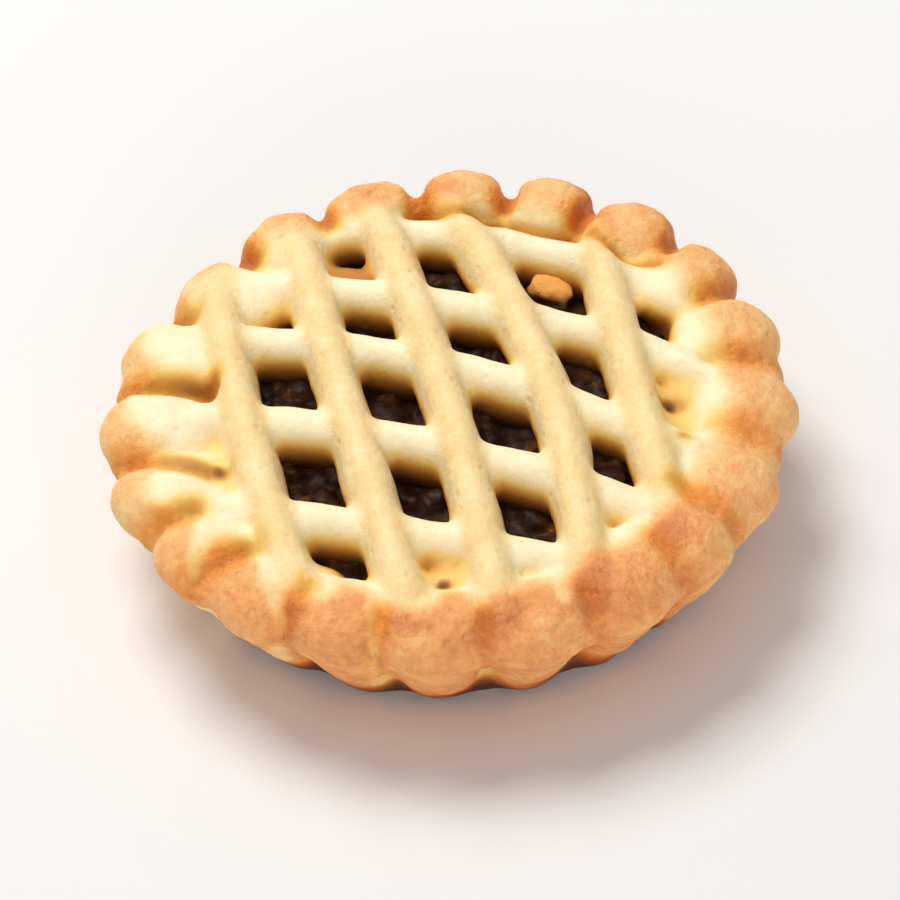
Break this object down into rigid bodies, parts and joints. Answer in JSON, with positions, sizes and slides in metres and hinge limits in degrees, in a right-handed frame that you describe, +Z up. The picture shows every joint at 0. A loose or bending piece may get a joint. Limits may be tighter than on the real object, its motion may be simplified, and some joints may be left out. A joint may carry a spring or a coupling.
{
  "type": "mince pie",
  "caption": "Small round mince pie: a fluted shortcrust case filled with dark fruit, under a lattice pastry lid with a scalloped rim.",
  "frame": {"origin": "middle of the flat base, on the surface the pie stands on", "axes": "+Z up, -Y towards the side nearest the camera in the picture, +X to the right of that view"},
  "size_m": [0.0735, 0.0737, 0.0195],
  "materials": {
    "case_pastry": "baked shortcrust, golden orange, matt and finely pored",
    "lid_pastry": "baked shortcrust, pale cream on the strands and browned at the rim",
    "dark_fruit": "dark sticky dried fruit, moist sheen"
  },
  "bodies": {
    "root": {"pastry_case": "case_pastry", "lattice_lid": "lid_pastry", "fruit_mince": "dark_fruit"}
  },
  "joints": []
}
